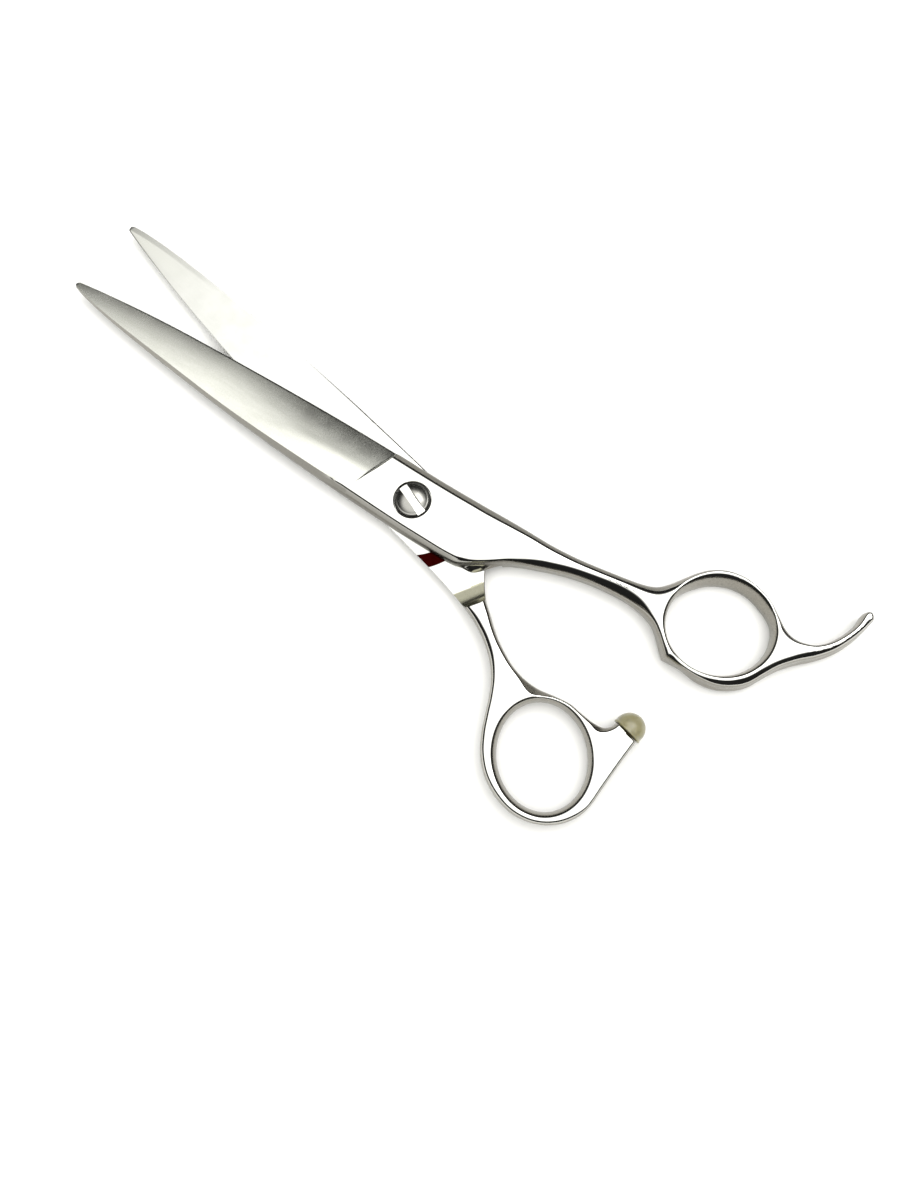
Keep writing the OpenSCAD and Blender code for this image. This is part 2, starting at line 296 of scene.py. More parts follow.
class ThumbHalf(Half):
    swell = 0.75
    rim = 0.25
    foot = 0.2

    def bead(self, x):
        return smooth(40, 46, x)

    def tilt(self, x, ny):
        return 0.8 + 0.25 * smooth(0.1, -0.3, ny) * smooth(46, 40, x)

    def round_out(self, x, ny):
        full = 0.45 - 0.15 * smooth(40, 46, x)
        return full - (full - 0.25) * smooth(-0.2, 0.1, ny)

    def bevel(self, x, ny, up):
        lower = smooth(0.15, -0.35, ny)
        shank = smooth(20, 27, x) * smooth(38, 31, x)
        root = smooth(26, 14, x)
        low = 0.3 * root + 0.85 * shank + 0.5 * (1 - root - shank)
        high = 0.6 * root + 0.4 * shank + 0.35 * (1 - root - shank) - 0.1 * smooth(46, 49, x)
        high = high + 1.0 * near_to(x, 43.4, 2.8) + 0.6 * near_to(x, 57.2, 1.6)
        top = low * lower + high * (1 - lower)
        return top * up + (0.4 + 0.4 * shank) * (1 - up)


def surface_net(value, lo, hi, step):
    """Quads round the region where value(x, y, z) < 0, on an even grid.

    Each cell that the surface passes through gets one point, the mean of where the surface
    crosses its edges, and each crossed edge gets a quad of the four cells round it."""
    axes = [np.arange(lo[i], hi[i] + step, step) for i in range(3)]
    v = value(*axes)
    inside = v < 0
    nx, ny, nz = v.shape
    corners = [(i, j, k) for i in (0, 1) for j in (0, 1) for k in (0, 1)]

    def at(c, a):
        """The cells' values of a at their corner c."""
        return a[c[0]:nx - 1 + c[0], c[1]:ny - 1 + c[1], c[2]:nz - 1 + c[2]]

    count = sum(at(c, inside).astype(np.int8) for c in corners)
    live = (count > 0) & (count < 8)
    index = np.full(live.shape, -1)
    index[live] = np.arange(live.sum())
    cell = np.argwhere(live).astype(float)
    total = np.zeros((len(cell), 3))
    hits = np.zeros(len(cell))
    for a in corners:
        for axis in range(3):
            if a[axis]:
                continue
            b = tuple(1 if i == axis else a[i] for i in range(3))
            va, vb = at(a, v)[live], at(b, v)[live]
            cross = (va < 0) != (vb < 0)
            t = np.where(cross, va / np.where(cross, va - vb, 1), 0)
            pt = np.array(a, float)[None].repeat(len(cell), 0)
            pt[:, axis] += t
            total += pt * cross[:, None]
            hits += cross
    points = np.array(lo) + (cell + total / hits[:, None]) * step
    quads = []
    for axis in range(3):
        u, w = (axis + 1) % 3, (axis + 2) % 3
        this, after = [slice(None)] * 3, [slice(None)] * 3
        this[axis], after[axis] = slice(0, -1), slice(1, None)
        where = np.argwhere(inside[tuple(this)] != inside[tuple(after)])
        where = where[(where[:, u] > 0) & (where[:, w] > 0)
                      & (where[:, u] < v.shape[u] - 1) & (where[:, w] < v.shape[w] - 1)]
        starts = inside[tuple(where.T)]
        ring = []
        for du, dw in ((-1, -1), (0, -1), (0, 0), (-1, 0)):
            c = where.copy()
            c[:, u] += du
            c[:, w] += dw
            ring.append(index[tuple(c.T)])
        q = np.stack(ring, 1)
        q[~starts] = q[~starts][:, ::-1]
        quads.append(q)
    return points, np.concatenate(quads)


# -------- making objects
def new_mesh(name, points, faces):
    mesh = bpy.data.meshes.new(name)
    mesh.from_pydata(np.asarray(points, float).tolist(), [], [list(map(int, f)) for f in faces])
    return mesh


def add(name, data):
    obj = bpy.data.objects.new(name, data)
    bpy.context.collection.objects.link(obj)
    return obj


def opened(points, faces):
    """The mesh opened for editing."""
    mesh = new_mesh("temp", points, faces)
    bm = bmesh.new()
    bm.from_mesh(mesh)
    bpy.data.meshes.remove(mesh)
    return bm


def closed(bm):
    """The points and faces after editing, with the normals outward."""
    bmesh.ops.recalc_face_normals(bm, faces=bm.faces[:])
    bm.verts.index_update()
    points = np.array([v.co[:] for v in bm.verts])
    faces = [[v.index for v in q.verts] for q in bm.faces]
    bm.free()
    return points, faces


def finish_mesh(name, points, faces, body, nodes, slot, mats, sharp=32, normals=None,
                mat_of=None):
    """Makes the object from points in millimetres, thumb_half's as if the shears were closed.

    Edges sharper than sharp degrees show. normals, where given, holds a unit normal for each
    point or zeros where there is none, and mat_of the number of each face's material."""
    points = np.asarray(points, float)
    if body == "thumb_half":
        c, s = math.cos(math.radians(-OPEN)), math.sin(math.radians(-OPEN))
        turn = np.array([[c, -s, 0], [s, c, 0], [0, 0, 1]])
        points = points @ turn.T
        if normals is not None:
            normals = normals @ turn.T
    mesh = new_mesh(name, points * MM, faces)
    for m in mats:
        mesh.materials.append(m)
    if mat_of is not None:
        mesh.polygons.foreach_set("material_index", np.asarray(mat_of, np.int32))
    mesh.polygons.foreach_set("use_smooth", np.ones(len(mesh.polygons), bool))
    mark_sharp(mesh, sharp)
    if normals is not None:
        set_normals(mesh, normals)
    obj = add(name, mesh)
    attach(obj, body)
    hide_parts(*nodes)


def mark_sharp(mesh, degrees):
    bm = bmesh.new()
    bm.from_mesh(mesh)
    bm.normal_update()
    for e in bm.edges:
        e.smooth = len(e.link_faces) == 2 and e.calc_face_angle(0) < math.radians(degrees)
    bm.to_mesh(mesh)
    bm.free()


def set_normals(mesh, given):
    """Uses the given vertex normals on every corner whose face faces nearly the same way."""
    own = np.empty(len(mesh.loops) * 3)
    mesh.corner_normals.foreach_get("vector", own)
    vertex = np.empty(len(mesh.loops), int)
    mesh.loops.foreach_get("vertex_index", vertex)
    flat = np.empty(len(mesh.polygons) * 3)
    mesh.polygon_normals.foreach_get("vector", flat)
    corners = np.empty(len(mesh.polygons), int)
    mesh.polygons.foreach_get("loop_total", corners)
    flat = np.repeat(flat.reshape(-1, 3), corners, axis=0)
    given = given[vertex]
    near = (given * flat).sum(1) > math.cos(math.radians(38))
    normals = np.where(near[:, None], given, own.reshape(-1, 3))
    mesh.normals_split_custom_set(normals.tolist())


def cut_at_weld(points, faces):
    """Cuts off what is below the weld in X and closes the mesh there."""
    bm = opened(points, faces)
    bmesh.ops.bisect_plane(bm, geom=bm.verts[:] + bm.edges[:] + bm.faces[:], dist=1e-5,
                           plane_co=(WELD, 0, 0), plane_no=(-1, 0, 0), clear_outer=True)
    bmesh.ops.edgenet_fill(bm, edges=[e for e in bm.edges if e.is_boundary])
    bmesh.ops.triangulate(bm, faces=[f for f in bm.faces if len(f.verts) > 4])
    return closed(bm)


def handle(name, half, lo, hi, body, nodes, mats):
    """Shank, ring and what the ring carries, from the half's solid, cut at the weld."""
    def value(xs, ys, zs):
        gx, gy = np.meshgrid(xs, ys, indexing="ij")
        flat = np.stack([gx.ravel(), gy.ravel()], 1)
        out, n = half.outline.near(flat)
        inn, _ = half.hole.near(flat)
        out, inn, ny = (a.reshape(gx.shape) for a in (out, inn, n[:, 1]))
        return np.stack([half.value(gx, gy, np.full_like(gx, z), out, ny, inn) for z in zs], 2)

    points, quads = surface_net(value, lo, hi, GRID)
    points, _ = half.settle(points)
    points, faces = cut_at_weld(points, quads)
    normals = unit(half.field(points)[1])
    finish_mesh(name, points, faces, body, nodes, "polished_steel", mats, 50, normals)


def turn_over(points):
    """The other side up: a half turn about the shears' length at mid height."""
    return points * (1, -1, -1) + (0, 0, TOP)


class Blade:
    """A blade and its root, outer face up, cutting edge on the +Y side.

    The section is the half's solid, cut by the ground outer face above and by the inner face
    and the sloping step below. The thumb blade's outer face lies below, so it is built like
    the finger blade and turned over at the end. x and y are arrays of places on the blade."""

    plunge_x = -10.97      # the grind's end on the middle line: a hollow wall, this long and high
    plunge_a, plunge_h = 1.4, 3.3
    plunge_lean = 0.27     # the end wall's lean across the blade
    back_row = 4           # this row of points runs along the back bevel's upper edge
    back_slope = 1.9
    face_r = 44.0          # radius of the grind
    crease_x = -9.0        # this station is bent along the grind's end

    def __init__(self, half, low, high, step_x, step_turn, step_len, turned):
        """low and high are the outlines of the back and of the edge. The step on the inner
        face starts at step_x, step_turn degrees off square, and is step_len long."""
        self.half = half
        self.turned = turned
        self.low = low[np.argsort(low[:, 0])]
        self.high = high[np.argsort(high[:, 0])]
        self.step_x, self.turn, self.step_len = step_x, math.radians(step_turn), step_len

    def sides(self, x):
        """Y of the back and of the edge."""
        lo = np.interp(x, self.low[:, 0], self.low[:, 1])
        hi = np.interp(x, self.high[:, 0], self.high[:, 1])
        t = np.clip((TIP_X - x) / TIP_R, 0, 1)
        mid = (lo + hi) / 2 * (1 - t) + 0.05 * t
        half = (hi - lo) / 2 * np.sqrt(1 - t * t)
        return mid - half, mid + half

    def back_w(self, x):
        """Width of the bevel along the back."""
        return 0.25 + 0.4 * smooth(-92, -60, x) + 0.6 * smooth(-50, -10, x)

    def face(self, v, x):
        """Height of the ground face at the distance v from the edge."""
        slope = 0.27 + 0.035 * smooth(-85, -50, x) + 0.135 * smooth(-50, -12, x)
        rise = v * slope - v * v / (2 * self.face_r)
        flat = TOP - RIDE - 0.02
        return RIDE - join_max(-np.minimum(0.2 + 0.8 * v, 0.28 + rise), -flat, 0.6)

    def bevelled(self, x, y):
        """Height of the ground face and of the bevel along the back."""
        lo, hi = self.sides(x)
        w = self.back_w(x)
        bevel = self.face(hi - lo - w, x) - self.back_slope * (w - (y - lo))
        return np.where(y - lo < w, bevel, self.face(hi - y, x))

    def ground(self, x, y):
        """Height of the outer face up to its end wall."""
        s = np.clip((x - self.plunge_x - self.plunge_lean * y) / self.plunge_a, 0, 1)
        return self.bevelled(x, y) + self.plunge_h * (1 - np.sqrt(1 - s * s))

    def plunge(self, y, z, x):
        """Where the grind's end wall meets a point of the root's section."""
        rise = np.clip(z - self.bevelled(np.full_like(y, x), y), 0, 3.2)
        part = 1 - rise / self.plunge_h
        return self.plunge_x + self.plunge_lean * y + self.plunge_a * np.sqrt(1 - part * part)

    def past_step(self, x, y):
        """Distance beyond the start of the step, square to it."""
        return x * math.cos(self.turn) + y * math.sin(self.turn) - self.step_x

    def inner(self, x, y):
        """Height of the inner face, hollow along its middle, and of the step down."""
        lo, hi = self.sides(x)
        a, b = lo + 1.3, hi - 0.45
        t = np.clip((y - (a + b) / 2) / np.maximum((b - a) / 2, 0.1), -1, 1)
        depth = 0.17 * smooth(-86, -74, x) * smooth(-12, -17, x)
        ramp = np.clip(self.past_step(x, y) / self.step_len, 0, None)
        bow = 0.6 if self.turned else 0.0
        step = RIDE * ramp * (1 - bow + bow * ramp ** 7)
        # a relief strip along the back towards the tip, and the honed line at the cutting edge
        relief = 0.17 * smooth(-56, -72, x) * np.clip(1 - (y - lo) / 1.25, 0, 1)
        hone = 0.09 * np.clip(1 - (hi - y) / 0.28, 0, 1) * smooth(-9, -14, x)
        if self.turned:   # a narrow bevel along the back
            relief = relief + 0.13 * np.clip(1 - (y - lo) / 0.22, 0, 1) * smooth(-52, -20, x)
        return RIDE + depth * (1 - t * t) + relief + hone - step

    def stations(self):
        """X of the sections, closer where the shape changes fast, and how much of the step's
        slant each one takes."""
        k = math.cos(self.turn)
        start, end = self.step_x / k, (self.step_x + self.step_len) / k
        parts = [np.linspace(-89.34, TIP_X, 9), np.arange(-88.2, -84, 0.45),
                 np.arange(-84, -20, 1.1), np.arange(-20, -12, 0.35), np.arange(-12, -8.3, 0.12),
                 np.arange(-8, -3, 0.35), np.arange(-3, 8, 0.9),
                 np.arange(8, start - 0.2, 0.5), np.linspace(start, end, 19),
                 np.linspace(end, WELD, 16)[1:], [self.plunge_x, self.crease_x]]
        base = np.sort(np.concatenate(parts))
        lean = smooth(12, 20, base) * np.clip((WELD - base) / (WELD - end), 0, 1)
        return base, lean

    def build(self):
        """Points, unit normals (zero where the grind or the inner face cuts) and faces."""
        across = np.linspace(0, 1, 30)
        across = 0.6 * (0.5 - 0.5 * np.cos(math.pi * across)) + 0.4 * across
        row = across[self.back_row]
        up = np.linspace(0, 1, 14, endpoint=False)
        # once round the section: back wall up, outer face, edge wall down, inner face
        loop = np.array([(0, t) for t in up] + [(t, 1) for t in across[:-1]]
                        + [(1, 1 - t) for t in up] + [(1 - t, 0) for t in across[:-1]])
        under = np.arange(len(loop)) >= len(loop) - (len(across) - 1)
        base, lean = self.stations()
        shape = (len(base), len(loop))
        fy, fz = (np.broadcast_to(loop[:, i], shape) for i in (0, 1))
        flat_x = x = np.repeat(base[:, None], len(loop), 1)

        def place(x):
            """Y of the points, one row of them on the back bevel's upper edge."""
            lo, hi = self.sides(x)
            cut = self.back_w(x) / (hi - lo)
            part = np.where(fy < row, fy * cut / row, cut + (fy - row) * (1 - cut) / (1 - row))
            return lo + (hi - lo) * part

        def settled(x):
            """The sections on the half's solid behind the grind, plain walls before it."""
            y, z = place(x), TOP * fz
            held, normal = self.settle(np.stack([x.ravel(), y.ravel(), z.ravel()], 1))
            held = held.reshape(shape + (3,))
            w = smooth(-20, -14, x)
            return (y + (held[..., 1] - y) * w, z + (held[..., 2] - z) * w,
                    normal.reshape(shape + (3,)).copy())

        # two rounds: place the sections roughly, then bend the stations to the creases
        for _ in range(2):
            y, z, _ = settled(x)
            at = np.abs(base - self.crease_x).argmin()
            cross = self.plunge(y[at], np.maximum(z[at], RIDE), self.crease_x)
            cross = np.where(under, self.plunge_x, cross)
            pull = np.clip(1 - np.abs(base - self.crease_x) / 11, 0, 1)
            x = (flat_x + pull[:, None] * (cross[None] - self.crease_x)
                 - lean[:, None] * math.tan(self.turn) * y)
        y, z, normal = settled(x)
        top_z, low_z = self.ground(x, y), self.inner(x, y)
        above = (z > top_z + 1e-4) & (x < -2)
        z = np.where(above, top_z, z)
        below = z < low_z - 1e-4
        z = np.where(below, low_z, z)
        normal[above | below | (x < -14)] = 0
        index = np.arange(x.size).reshape(shape)
        a, b = index[:-1], index[1:]
        quads = np.stack([a, np.roll(a, -1, 1), np.roll(b, -1, 1), b], 2).reshape(-1, 4)
        points = np.stack([x, y, z], 2).reshape(-1, 3)
        faces = quads.tolist() + [index[-1].tolist(), index[0][::-1].tolist()]
        return points, normal.reshape(-1, 3), faces

    def settle(self, p):
        if not self.turned:
            return self.half.settle(p, 5, keep_x=True)
        q, n = self.half.settle(turn_over(p), 5, keep_x=True)
        return turn_over(q), n * (1, -1, -1)

    def make(self, name, cutters, body, node, mats):
        """Makes the object; mats are the polished, ground, inner and step looks, and the black
        look that is painted shade in the screw's recess.
        """
        points, normals, faces = self.build()
        bm = opened(points, faces)
        bmesh.ops.remove_doubles(bm, verts=bm.verts[:], dist=0.004)
        bmesh.ops.dissolve_degenerate(bm, edges=bm.edges[:], dist=0.003)
        p, f = carve(*closed(bm), cutters)
        known = {tuple(np.round(a, 3)): b for a, b in zip(points, normals)}
        normals = np.array([known.get(tuple(np.round(q, 3)), (0, 0, 0)) for q in p])
        looks = [self.look(p[q]) for q in f]
        if self.turned:
            p, normals = turn_over(p), normals * (1, -1, -1)
        finish_mesh(name, p, f, body, [node], "blade_steel", mats, 24, normals, looks)

    def look(self, corners):
        """The number of the look that a face with these corners has."""
        x, y, z = centre = corners.mean(0)
        at = centre[:1], centre[1:2]
        lo, _ = self.sides(at[0])
        # the screw's recess gets the black look: painted shade
        if not self.turned and math.hypot(x, y) < SINK_R + 0.06 and SINK_Z < z < TOP - 0.09:
            return 4
        if (x < self.crease_x + 3 and abs(z - self.ground(*at)[0]) < 0.05
                and y > lo[0] + self.back_w(x) and z < TOP - 0.012):
            return 1
        flat = np.ptp(corners[:, 2]) < 1.2
        if abs(z - self.inner(*at)[0]) < 0.03 and flat and z > 0.02:
            return 2 if self.past_step(x, y) <= 0 else 3 if self.turned else 0
        return 0


def lathe(profile, count=96, centre=(0, 0), axis="z"):
    """Points and faces of a turned piece; profile holds (radius, height) from pole to pole."""
    points, rings = [], []
    for r, h in profile:
        if r < 1e-6:
            rings.append([len(points)] * count)
            points.append((0, 0, h))
            continue
        rings.append(list(range(len(points), len(points) + count)))
        for i in range(count):
            t = 2 * math.pi * i / count
            points.append((r * math.cos(t), r * math.sin(t), h))
    faces = []
    for p, q in zip(rings[:-1], rings[1:]):
        for i in range(count):
            k = (i + 1) % count
            corner = [p[i], p[k], q[k], q[i]]
            face = [c for j, c in enumerate(corner) if c not in corner[:j]]
            if len(face) > 2:
                faces.append(face)
    points = np.array(points, float)
    if axis == "y":
        points = points[:, [1, 2, 0]]
    points[:, :2] += np.asarray(centre)
    return points, faces


def ring(inner, outer, low, high, edge):
    """A lathe profile of a washer with bevelled edges, closed on itself."""
    return [(inner, low + edge), (inner + edge, low), (outer - edge, low), (outer, low + edge),
            (outer, high - edge), (outer - edge, high), (inner + edge, high),
            (inner, high - edge), (inner, low + edge)]


def carve(points, faces, cutters):
    """The solid with the cutters taken away."""
    def temp(p, f):
        bm = opened(p, f)
        bmesh.ops.remove_doubles(bm, verts=bm.verts[:], dist=1e-5)
        return add("temp", new_mesh("temp", *closed(bm)))

    body = temp(points, faces)
    tools = [temp(*c) for c in cutters]
    for t in tools:
        m = body.modifiers.new("cut", "BOOLEAN")
        m.operation, m.solver, m.object = "DIFFERENCE", "EXACT", t
    bpy.context.view_layer.update()
    cut = body.evaluated_get(bpy.context.evaluated_depsgraph_get()).to_mesh()
    p = np.array([v.co[:] for v in cut.vertices])
    f = [list(q.vertices) for q in cut.polygons]
    for o in [body] + tools:
        mesh = o.data
        bpy.data.objects.remove(o)
        bpy.data.meshes.remove(mesh)
    return p, f


def block(lo, hi, turn):
    """A box between two corners, turned about the Z axis."""
    c, s = math.cos(math.radians(turn)), math.sin(math.radians(turn))
    p = [(x, y, z) for x in (lo[0], hi[0]) for y in (lo[1], hi[1]) for z in (lo[2], hi[2])]
    p = [(x * c - y * s, x * s + y * c, z) for x, y, z in p]
    return p, [(0, 1, 3, 2), (4, 6, 7, 5), (0, 4, 5, 1), (2, 3, 7, 6), (0, 2, 6, 4), (1, 5, 7, 3)]


def ease_edges(points, faces, width, degrees, low):
    """Bevels the edges sharper than degrees that are above the height low."""
    bm = opened(points, faces)
    bm.normal_update()
    sharp = [e for e in bm.edges
             if len(e.link_faces) == 2 and e.calc_face_angle(0) > math.radians(degrees)
             and min(v.co.z for v in e.verts) > low]
    bmesh.ops.bevel(bm, geom=sharp, offset=width, segments=2, profile=0.5, affect="EDGES",
                    clamp_overlap=True)
    return closed(bm)


# -------- materials
class Look:
    """A node material being wired: textures are laid in millimetres on the piece itself."""

    def __init__(self, name, turn=0.0, **values):
        self.mat = bpy.data.materials.new(name)
        self.mat.use_nodes = True
        self.tree = self.mat.node_tree
        self.shader = self.tree.nodes["Principled BSDF"]
        for key, value in values.items():
            self.shader.inputs[key.replace("_", " ")].default_value = value
        self.turn = turn
        self.base = self.node("TexCoord").outputs["Object"]

    def node(self, kind, **inputs):
        n = self.tree.nodes.new("ShaderNode" + kind)
        for key, value in inputs.items():
            self.feed(n.inputs[key.replace("_", " ")], value)
        return n

    def feed(self, socket, value):
        if isinstance(value, bpy.types.NodeSocket):
            self.tree.links.new(value, socket)
        else:
            socket.default_value = value

    def place(self, x=1.0, y=1.0, z=1.0):
        """Object coordinates in millimetres, stretched; small factors give long grain."""
        k = 1 / MM
        return self.node("Mapping", Vector=self.turned(), Scale=(x * k, y * k, z * k)).outputs[0]

    def turned(self):
        """Object coordinates turned so that X runs along the piece."""
        return self.node("Mapping", Vector=self.base, Rotation=(0, 0, self.turn)).outputs[0]

    def reach(self, centre=(0, 0)):
        """Distance in millimetres from an upright line."""
        flat, far = self.node("VectorMath"), self.node("VectorMath")
        flat.operation, far.operation = "MULTIPLY", "DISTANCE"
        self.feed(flat.inputs[0], self.base)
        self.feed(flat.inputs[1], (1 / MM, 1 / MM, 0))
        self.feed(far.inputs[0], flat.outputs[0])
        self.feed(far.inputs[1], (*centre, 0))
        return far.outputs["Value"]

    def noise(self, where, scale, detail=3.0, rough=0.55):
        n = self.node("TexNoise", Vector=where, Scale=scale, Detail=detail, Roughness=rough)
        return n.outputs["Fac"]

    def spread(self, fac, lo, hi, to_lo, to_hi):
        """fac from lo to hi becomes to_lo to to_hi, and no further."""
        n = self.node("MapRange", Value=fac)
        for key, v in (("From Min", lo), ("From Max", hi), ("To Min", to_lo), ("To Max", to_hi)):
            n.inputs[key].default_value = v
        return n.outputs[0]

    def blend(self, fac, a, b, how="MIX"):
        n = self.node("Mix")
        n.data_type, n.blend_type = "RGBA", how
        self.feed(n.inputs[0], fac)
        for i, v in ((6, a), (7, b)):
            self.feed(n.inputs[i], v if isinstance(v, bpy.types.NodeSocket) else (*v, 1.0))
        return n.outputs[2]

    def sum(self, a, b, how="ADD"):
        n = self.node("Math")
        n.operation = how
        self.feed(n.inputs[0], a)
        self.feed(n.inputs[1], b)
        return n.outputs[0]

    def bump(self, height, strength, distance, under=None):
        n = self.node("Bump", Height=height, Strength=strength, Distance=distance * MM)
        if under is not None:
            self.feed(n.inputs["Normal"], under)
        return n.outputs[0]

    def set(self, **values):
        for key, value in values.items():
            self.feed(self.shader.inputs[key.replace("_", " ")], value)
        return self.mat


def polished(name, turn=0.0, hole=None, under=1.0):
    """Buffed stainless steel: a mirror on the faces, satin on the walls, with faint haze and
    hairline scratches. The walls get a darker colour, which is painted shade, and some outer
    walls are painted darker still by the factor under, but not the wall of the hole at this
    centre."""
    m = Look(name, turn, Metallic=1.0)
    haze = m.noise(m.place(), 0.16, 4)
    fine = m.noise(m.place(2.4, 0.35, 1.0), 2.2, 2)
    pits = m.noise(m.place(), 3.2, 4, 0.7)
    hair = m.noise(m.place(0.12, 3.2, 3.2), 2.0, 2)
    scratch = m.spread(hair, 0.66, 0.74, 0, 1)
    lie = m.node("SeparateXYZ", Vector=m.node("TexCoord").outputs["Normal"])
    level = m.sum(lie.outputs["Z"], 0, "ABSOLUTE")
    level = m.sum(level, m.spread(lie.outputs["Y"], 0, 1, 0, 0.5), "SUBTRACT")
    wall = m.spread(level, 0.42, 0.76, 1, 0)
    rough = m.sum(m.spread(haze, 0.35, 0.75, 0.03, 0.09), m.sum(scratch, 0.05, "MULTIPLY"))
    rough = m.sum(rough, m.sum(wall, m.spread(pits, 0.3, 0.7, 0.16, 0.26), "MULTIPLY"))
    shade = m.blend(m.spread(haze, 0.4, 0.8, 0, 0.5), (0.66, 0.655, 0.62),
                    (0.6072, 0.6026, 0.5704))
    # the walls' darker colour is painted shade; the pits vary it at random
    painted_wall_shade = m.blend(m.spread(pits, 0.35, 0.7, 0, 1), (0.25, 0.238, 0.208), (0.195, 0.184, 0.158))
    along = m.node("SeparateXYZ", Vector=m.base).outputs["X"]
    # painted shade on the walls: darker towards the blade's root below, and all along above
    side = m.spread(lie.outputs["Y"], -0.8, -0.3, 1, 0)
    side = m.sum(side, m.spread(along, -0.06, -0.02, 0.25, 1), "MULTIPLY")
    side = m.sum(side, m.spread(along, 0.017, 0.028, 1, 0.1), "MULTIPLY")
    side = m.sum(side, m.spread(lie.outputs["Y"], 0.3, 0.7, 0, 0.8), "MAXIMUM")
    if hole:
        side = m.sum(side, m.spread(m.reach(hole), 10.4, 10.7, 0, 1), "MULTIPLY")
    # painted shade: some outer walls darkened towards black by the factor under
    painted_wall_shade = m.blend(m.sum(side, 1 - under, "MULTIPLY"), painted_wall_shade, (0, 0, 0))
    shade = m.blend(wall, shade, painted_wall_shade)
    b = m.bump(fine, 0.05, 0.004)
    b = m.bump(m.sum(wall, pits, "MULTIPLY"), 0.15, 0.006, b)
    return m.set(Base_Color=shade, Roughness=rough, Normal=m.bump(scratch, 0.12, 0.004, b))


def ground_steel(name, turn=0.0, shade_tint=(1, 1, 1)):
    """The satin grind: fine grain, a little mottled. The tint multiplies the colour; on the
    step it makes it darker and warmer as painted shade.
    """
    m = Look(name, turn, Metallic=1.0, Anisotropic=0.3)
    grain = m.noise(m.place(3.0, 0.5, 1.0), 3.0, 4, 0.65)
    streak = m.noise(m.place(0.16, 0.9, 1.0), 1.1, 4, 0.6)
    cloud = m.noise(m.place(), 0.22, 3)
    mottle = m.noise(m.place(), 4.5, 4, 0.75)
    tone = m.blend(m.spread(streak, 0.3, 0.7, 0, 1), (0.47, 0.473, 0.418), (0.53, 0.53, 0.48))
    tone = m.blend(m.spread(mottle, 0.35, 0.7, 0, 0.7), tone, (0.58, 0.58, 0.55))
    tone = m.blend(1.0, tone, shade_tint, "MULTIPLY")
    rough = m.sum(m.spread(grain, 0.3, 0.7, 0.19, 0.29), m.spread(cloud, 0.3, 0.7, -0.02, 0.04))
    return m.set(Base_Color=tone, Roughness=rough, Normal=m.bump(grain, 0.16, 0.005))


def inner_steel(name, turn=0.0, land=False):
    """The inner face: fine lapped finish along the blade, its colour painted lighter towards
    the pivot and darker towards the tip as painted light and shade.
    """
    m = Look(name, turn, Metallic=1.0)
    grain = m.noise(m.place(0.1, 3.5, 1.0), 1.8, 3, 0.6)
    cloud = m.noise(m.place(), 0.2, 3)
    rough = m.sum(m.spread(grain, 0.3, 0.7, 0.10, 0.18), m.spread(cloud, 0.3, 0.7, 0, 0.05))
    # painted light and shade: darker towards the tip, lighter towards the pivot
    along = m.spread(m.node("SeparateXYZ", Vector=m.turned()).outputs["X"], -0.086, -0.045, 0, 1)
    tone = m.blend(along, (0.37, 0.37, 0.34), (0.56, 0.56, 0.54))
    tone = m.blend(m.spread(cloud, 0.3, 0.7, 0, 0.5), tone, (0.41, 0.41, 0.38))
    b = m.bump(grain, 0.1, 0.005)
    if not land:
        return m.set(Base_Color=tone, Roughness=rough, Normal=b)
    # the lacquered half-moon behind the pivot, where the halves ride on each other
    reach = m.reach()
    behind = m.spread(m.node("SeparateXYZ", Vector=m.turned()).outputs["X"], 0.0, 0.0004, 0, 1)
    mask = m.sum(m.spread(reach, 10.45, 10.55, 0, 1), behind, "MULTIPLY")
    mask = m.sum(mask, m.spread(reach, 13.35, 13.45, 1, 0), "MULTIPLY")
    spots = m.noise(m.place(), 1.2, 4)
    red = m.blend(m.spread(spots, 0.3, 0.7, 0, 1), (0.009, 0.0003, 0.0002),
                  (0.014, 0.0005, 0.0004))
    return m.set(Base_Color=m.blend(mask, tone, red), Normal=b,
                 Roughness=m.sum(rough, m.sum(mask, 0.12, "MULTIPLY")))


def turned_steel(name):
    """The screw and nut: lightly brushed round the axis and greyer than the blades."""
    m = Look(name, Metallic=1.0)
    where = m.place()
    rings = m.node("TexWave", Vector=where, Scale=1.3, Distortion=1.2, Detail=2.0)
    rings.wave_type, rings.rings_direction = "RINGS", "Z"
    brushed = rings.outputs["Fac"]
    cloud = m.noise(where, 0.9, 4)
    tone = m.blend(m.spread(cloud, 0.3, 0.7, 0, 1), (0.27, 0.265, 0.245), (0.31, 0.305, 0.285))
    rough = m.sum(m.spread(cloud, 0.3, 0.7, 0.18, 0.24), m.sum(brushed, 0.05, "MULTIPLY"))
    return m.set(Base_Color=tone, Roughness=rough, Normal=m.bump(brushed, 0.08, 0.004))


def speckled(name, scale, spots, tones, rough, bump, **values):
    """A material with small spots, which begin and end at these values of the noise."""
    m = Look(name, **values)
    noise = m.noise(m.place(), scale, 4)
    tone = m.blend(m.spread(noise, *spots, 0, 1), *tones)
    return m.set(Base_Color=tone, Roughness=m.spread(noise, 0.3, 0.7, *rough),
                 Normal=m.bump(noise, bump, 0.01))


